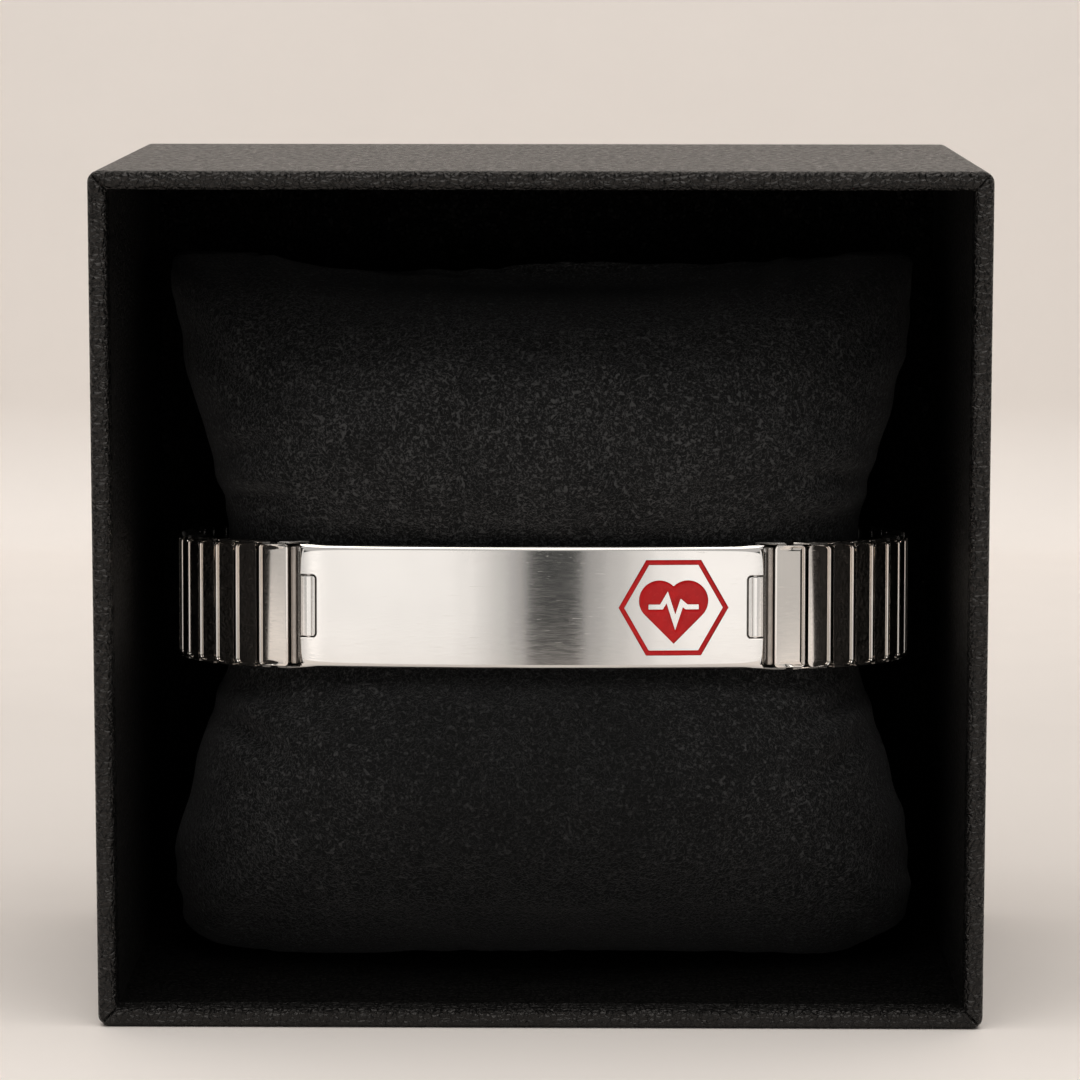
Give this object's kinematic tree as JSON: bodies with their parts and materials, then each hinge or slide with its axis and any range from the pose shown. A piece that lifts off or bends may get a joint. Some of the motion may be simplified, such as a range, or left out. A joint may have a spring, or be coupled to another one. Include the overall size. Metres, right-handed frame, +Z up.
{
  "type": "medical alert bracelet in display box",
  "caption": "Stretch-link medical alert bracelet with a curved plate and a red enamel emblem, round a soft pillow in an open black display box.",
  "frame": {"origin": "middle of the box's foot, the long wall that it stands on", "axes": "+X to the viewer's right, +Y from the open side to the back of the box, +Z up"},
  "size_m": [0.09, 0.056, 0.087],
  "materials": {
    "box_cover": "fine-grained black leatherette",
    "pillow_fabric": "short-pile black velvet",
    "plate_steel": "satin polished with fine scratches",
    "band_steel": "polished stainless steel",
    "red_enamel": "glossy red enamel"
  },
  "bodies": {
    "root": {"display_box": "box_cover", "pillow": "pillow_fabric", "id_plate": "plate_steel", "emblem_frame": "red_enamel", "emblem_heart": "red_enamel", "end_hook_left": "band_steel", "end_hook_right": "band_steel", "band_left": "band_steel", "band_right": "band_steel"}
  },
  "joints": []
}
